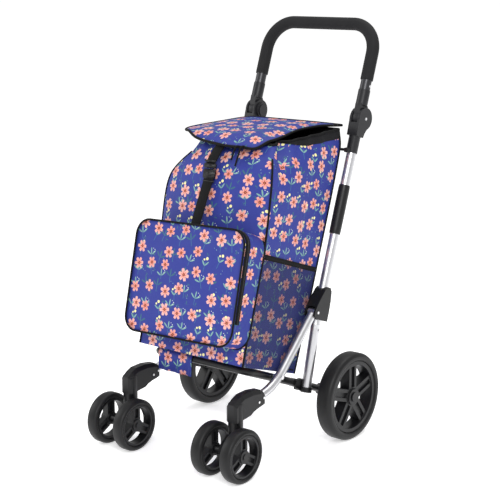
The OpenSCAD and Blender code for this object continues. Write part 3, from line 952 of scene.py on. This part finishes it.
def lid_place():
    """The lid's hinge line and its slope."""
    hinge = [j for j in frame["joints"] if j["name"] == "lid_open"][0]
    return Vector(hinge["pos_m"]), math.radians(3.6)


def lid_point(x, y, z):
    at, slope = lid_place()
    return at + Matrix.Rotation(slope, 3, "X") @ Vector((x, y, z))


def lid_drop(x, y):
    """How far the cloth lies below the flat lid: its front and left edge hang a little."""
    front = ramp(-y, 0.200, 0.262) * 0.020
    left = ramp(-x, 0.10, 0.21) * 0.010
    right = ramp(x, 0.060, 0.100) * ramp(-y, 0.02, 0.06) * 0.009
    crown = -0.004 * math.cos(x * 9) * ramp(-y, 0.0, 0.06)
    return front + left + right + crown


class TROLLEY_OT_lid(bpy.types.Operator):
    """Make the lid flap with its black binding"""

    bl_idname = "trolley.lid"
    bl_label = "Lid flap"

    def execute(self, context):
        keys = [Vector((x, y, 0)) for x, y in LID_OUTLINE]
        edge = smooth_path(keys + keys[:1], 5)[:-1]
        centre = Vector((-0.02, -0.11, 0))
        rings, points = 14, []
        for k in range(rings):
            share = 1 - k / rings
            for p in edge:
                q = centre + (p - centre) * share
                ripple = 0.0016 * noise.noise(Vector((q.x * 22, q.y * 22, 1.7))) * (1 - share**4)
                points.append(lid_point(q.x, q.y, 0.0042 - lid_drop(q.x, q.y) + ripple))
        n = len(edge)
        faces = strip_faces(rings, n, True)
        points.append(lid_point(centre.x, centre.y, 0.0042 - lid_drop(centre.x, centre.y)))
        faces += [((rings - 1) * n + c, (rings - 1) * n + (c + 1) % n, len(points) - 1) for c in range(n)]
        lid = mesh_object("lid_flap", points, faces, [printed_cloth(), lining()])
        if lid.data.polygons[0].normal.z < 0:
            lid.data.flip_normals()
        thicken(lid, 0.0028, 1)
        lay_cloth(lid, lid_point(0, 0, 0), Vector((0, 0, 1)), Vector((0, 1, 0)), (0.02, 0.03))
        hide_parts("bag_lid")
        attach(lid, "lid")
        hem_path = [lid_point(p.x, p.y, 0.0028 - lid_drop(p.x, p.y)) for p in edge]
        hem = cords("lid_binding", [hem_path], 0.0030, black_tape(), closed=True)
        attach(hem, "lid")
        return {"FINISHED"}


class TROLLEY_OT_strap(bpy.types.Operator):
    """Make the closing strap with its two buckle halves"""

    bl_idname = "trolley.strap"
    bl_label = "Strap and buckle"

    def execute(self, context):
        plastic = clip_plastic()
        low, high = (Vector(c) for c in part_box("buckle_socket"))
        socket_top = Vector((0, high.y - 0.0045, high.z))
        socket_foot = Vector((0, low.y + 0.0045, low.z))
        start = lid_point(0, -0.243, -0.012)
        joint = socket_top + (socket_top - socket_foot).normalized() * 0.012
        upper = [start, start.lerp(joint, 0.35) + Vector((0, -0.003, 0)), joint]
        tape = ribbon("lid_strap_tape", smooth_path(upper, 8), 0.026, 0.0022, black_tape())
        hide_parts("lid_strap")
        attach(tape, "lid")
        lean = math.atan2(socket_top.y - socket_foot.y, socket_top.z - socket_foot.z)

        def part(name, corner, size, bevel):
            return block(name, corner, size, -lean, socket_top, plastic, bevel)

        male = [
            part("plug_body", (-0.016, -0.0042, 0.001), (0.032, 0.0084, 0.011), 0.002),
            part("plug_bar", (-0.0155, -0.0045, 0.014), (0.031, 0.0055, 0.0045), 0.0015),
        ]
        plug_piece = joined("buckle_plug_clip", male)
        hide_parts("buckle_plug")
        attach(plug_piece, "lid")
        female = [
            part("socket_body", (-0.016, -0.0048, -0.022), (0.032, 0.0096, 0.0215), 0.0024),
            part("socket_ridge", (-0.010, -0.0062, -0.016), (0.020, 0.003, 0.010), 0.001),
            part("socket_bar", (-0.0155, -0.003, -0.030), (0.031, 0.006, 0.006), 0.0018),
        ]
        socket_piece = joined("buckle_socket_clip", female)
        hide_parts("buckle_socket")
        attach(socket_piece, "frame")
        foot = bag_point(0, -0.1685, 0.270)
        start = socket_foot + Vector((0, 0.001, 0.004))
        keys = [start, socket_foot.lerp(foot, 0.45) + Vector((0, -0.001, 0)), foot]
        lower = ribbon("pocket_strap_tape", smooth_path(keys, 10), 0.026, 0.0022, black_tape())
        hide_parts("pocket_strap")
        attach(lower, "frame")
        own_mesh(lower)
        return {"FINISHED"}


class TROLLEY_OT_drawstring(bpy.types.Operator):
    """Make the two short ends of the drawstring at the bag's mouth"""

    bl_idname = "trolley.drawstring"
    bl_label = "Drawstring ends"

    def execute(self, context):
        paths = []
        for k, x in enumerate((0.052, 0.066)):
            keys = [
                bag_surface("front", 0.5 + x / 0.24, 0.97) + Vector((0, -0.004, 0)),
                bag_point(x + 0.002, -0.150, 0.455),
                bag_point(x - 0.003, -0.152, 0.425 - 0.012 * k),
            ]
            paths.append(smooth_path(keys, 8))
        ends = cords("drawstring_ends", paths, 0.0019, black_tape())
        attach(ends, "frame")
        fold_with_bag(ends)
        return {"FINISHED"}


class TROLLEY_OT_tab(bpy.types.Operator):
    """Make the printed tab that loops over the base bar"""

    bl_idname = "trolley.tab"
    bl_label = "Tab on the base bar"

    def execute(self, context):
        low, high = (Vector(c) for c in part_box("bar_tab"))
        reach = high.z - 0.0095
        centre = Vector((0, high.y - 0.0098, reach))
        profile = [Vector((0, -0.0105, low.z - centre.z))]
        turns = [k * math.pi / 14 for k in range(15)]
        profile += [Vector((0, -0.0105 * math.cos(a), 0.0105 * math.sin(a))) for a in turns]
        profile += [Vector((0, 0.0105, -0.010))]
        n = 16
        points = []
        for c in range(n + 1):
            x = low.x + (high.x - low.x) * c / n
            wave = 0.0015 * math.sin(c * 1.1)
            points += [centre + Vector((x, p.y + (wave if p.z < -0.012 else 0), p.z)) for p in profile]
        faces = strip_faces(n + 1, len(profile), False)
        tab = mesh_object("bar_tab_cloth", points, faces, [printed_cloth(), lining()])
        thicken(tab, 0.0018, 1)
        lay_cloth(tab, offset=(0.005, 0.02))
        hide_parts("bar_tab")
        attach(tab, "base")
        return {"FINISHED"}


# ---------------------------------------------------------------- rigid parts
EASED = {
    "elbow": 0.004, "leg_joint": 0.0035, "lower_hinge": 0.002, "upper_hinge": 0.002, "caster_fork": 0.003,
    "foot_clamp": 0.0015, "lock_collar": 0.0012, "tyre": 0.0025, "rear_wheel": 0.0015, "caster_hub": 0.0012,
    "release_button": 0.0015, "axle_caps": 0.002, "rod_pegs": 0.001, "rivets": 0.0004, "pins": 0.0005,
}


class TROLLEY_OT_finishes(bpy.types.Operator):
    """Give every rigid part its finish and eased edges"""

    bl_idname = "trolley.finishes"
    bl_label = "Finishes of the rigid parts"

    def execute(self, context):
        finishes = {
            "aluminium": brushed_tube("Satin aluminium", (0.66, 0.66, 0.68)),
            "steel": plain("Bright steel", (0.74, 0.74, 0.75), 0.28, metal=1.0),
            "plastic": plain("Black plastic", (0.0055, 0.0055, 0.0065), 0.40, grain=0.18, grain_size=700),
            "graphite": plain("Graphite plastic", (0.013, 0.013, 0.015), 0.38, grain=0.15, grain_size=700),
            "foam": plain("Black foam", (0.006, 0.006, 0.007), 0.75, grain=0.55, grain_size=1100),
            "tyre": plain("Black tyre", (0.0045, 0.0045, 0.005), 0.48, grain=0.15, grain_size=500),
            "webbing": black_tape(),
            "black_paint": plain("Black lacquer", (0.006, 0.006, 0.0065), 0.32),
            "dark_tube": plain("Graphite tube", (0.040, 0.040, 0.044), 0.34, metal=0.6),
            "print": printed_cloth(),
        }
        for part in frame["record"]["subparts"]:
            thing = frame["nodes"][part["node"]]
            finish = finishes.get(part["material_slot"])
            if finish is None:
                continue
            for slot in thing.material_slots:
                slot.material = finish
            width = next((w for key, w in EASED.items() if key in part["node"]), None)
            if width:
                thing.modifiers.new("joined corners", "WELD").merge_threshold = 0.00001
                bevel = thing.modifiers.new("eased edges", "BEVEL")
                bevel.width = width
                bevel.segments = 3
                bevel.limit_method = "ANGLE"
                bevel.angle_limit = math.radians(32)
                bevel.harden_normals = False
        return {"FINISHED"}


# ---------------------------------------------------------------- stage
FLOOR_REACH = 160
FLOOR_GLOW = 0.45
LENS = 95.04
EYE = Vector((1.8518, AXLE_Y - 2.3449, 1.0390))
AIM = Vector((-0.07454, AXLE_Y - 0.00841, 0.40018))


def area_light(name, place, target, size, power):
    lamp = bpy.data.lights.new(name, "AREA")
    lamp.shape = "RECTANGLE"
    lamp.size, lamp.size_y = size
    lamp.energy = power
    thing = bpy.data.objects.new(name, lamp)
    thing.location = place
    thing.rotation_euler = (Vector(target) - Vector(place)).to_track_quat("-Z", "Y").to_euler()
    bpy.context.scene.collection.objects.link(thing)


class TROLLEY_OT_stage(bpy.types.Operator):
    """Make the pale floor, the soft lights and the camera"""

    bl_idname = "trolley.stage"
    bl_label = "Stage"

    def execute(self, context):
        looks = context.scene.trolley
        corners = [(x * FLOOR_REACH, y * FLOOR_REACH, 0) for x, y in ((-1, -1), (1, -1), (1, 1), (-1, 1))]
        pale = plain("Pale floor", tuple(looks.floor_colour), 0.9, spread=0.01)
        glow = next(n for n in pale.node_tree.nodes if n.type == "BSDF_PRINCIPLED")
        glow.inputs["Emission Color"].default_value = (1, 1, 1, 1)
        glow.inputs["Emission Strength"].default_value = FLOOR_GLOW
        floor = mesh_object("floor", corners, [(0, 1, 2, 3)], [pale], smooth=False)
        if floor.data.polygons[0].normal.z < 0:
            floor.data.flip_normals()
        world = context.scene.world or bpy.data.worlds.new("Studio")
        context.scene.world = world
        world.use_nodes = True
        back = world.node_tree.nodes["Background"]
        back.inputs["Color"].default_value = (1, 1, 1, 1)
        back.inputs["Strength"].default_value = looks.surround
        area_light("key", (2.2, -2.6, 2.6), (0, 0, 0.5), (1.6, 1.6), looks.key_power)
        area_light("fill", (-2.8, -1.6, 1.8), (0, 0, 0.5), (1.8, 1.8), looks.key_power * 0.35)
        area_light("top", (0.2, 0.8, 3.2), (0, 0, 0.4), (2.0, 2.0), looks.key_power * 0.5)
        camera = bpy.data.cameras.new("Camera")
        camera.sensor_width = 36
        camera.lens = LENS
        camera.clip_end = 2.5 * FLOOR_REACH
        eye = bpy.data.objects.new("Camera", camera)
        eye.location = EYE
        eye.rotation_euler = (AIM - EYE).to_track_quat("-Z", "Y").to_euler()
        context.scene.collection.objects.link(eye)
        context.scene.camera = eye
        context.scene.view_settings.view_transform = "Standard"
        return {"FINISHED"}


class TrolleyLooks(bpy.types.PropertyGroup):
    cloth_colour: bpy.props.FloatVectorProperty(
        name="Cloth ground", description="Blue ground of the print", subtype="COLOR", size=3,
        default=(0.020, 0.032, 0.235),
    )
    flower_colour: bpy.props.FloatVectorProperty(
        name="Flowers", description="Coral of the flowers", subtype="COLOR", size=4,
        default=(0.68, 0.30, 0.27, 1.0),
    )
    flower_spacing: bpy.props.FloatProperty(
        name="Flower spacing", description="Distance between flowers", unit="LENGTH",
        default=0.043, min=0.01,
    )
    flower_size: bpy.props.FloatProperty(
        name="Flower radius", description="Radius of a flower", unit="LENGTH", default=0.0142, min=0.002
    )
    crease: bpy.props.FloatProperty(
        name="Creases", description="Height of the cloth's soft creases", unit="LENGTH",
        default=0.002, min=0.0,
    )
    piping: bpy.props.FloatProperty(
        name="Piping radius", description="Radius of the black piping", unit="LENGTH",
        default=0.0023, min=0.0005,
    )
    floor_colour: bpy.props.FloatVectorProperty(
        name="Floor", description="Colour of the floor", subtype="COLOR", size=3, default=(0.95, 0.95, 0.95)
    )
    surround: bpy.props.FloatProperty(
        name="Surround", description="Brightness of the room", default=0.62, min=0.0
    )
    key_power: bpy.props.FloatProperty(
        name="Key light", description="Power of the key light", subtype="POWER", default=85.0, min=0.0
    )


STEPS = (
    "finishes", "bag", "piping", "collar", "pocket", "net_pockets",
    "lid", "strap", "drawstring", "tab", "stage",
)


class TROLLEY_PT_panel(bpy.types.Panel):
    """Lists the steps that build the trolley"""

    bl_idname = "TROLLEY_PT_panel"
    bl_label = "Trolley"
    bl_space_type = "VIEW_3D"
    bl_region_type = "UI"
    bl_category = "Trolley"

    def draw(self, context):
        for name in TrolleyLooks.__annotations__:
            self.layout.prop(context.scene.trolley, name)
        for step in STEPS:
            self.layout.operator(f"trolley.{step}")


CLASSES = (
    TrolleyLooks, TROLLEY_OT_finishes, TROLLEY_OT_bag, TROLLEY_OT_piping, TROLLEY_OT_collar,
    TROLLEY_OT_pocket, TROLLEY_OT_net_pockets, TROLLEY_OT_lid, TROLLEY_OT_strap,
    TROLLEY_OT_drawstring, TROLLEY_OT_tab, TROLLEY_OT_stage, TROLLEY_PT_panel,
)


def register():
    for kind in CLASSES:
        bpy.utils.register_class(kind)
    bpy.types.Scene.trolley = bpy.props.PointerProperty(type=TrolleyLooks)


def unregister():
    del bpy.types.Scene.trolley
    for kind in reversed(CLASSES):
        bpy.utils.unregister_class(kind)


def main():
    register()
    for step in STEPS:
        getattr(bpy.ops.trolley, step)()


if __name__ == "__main__":
    main()
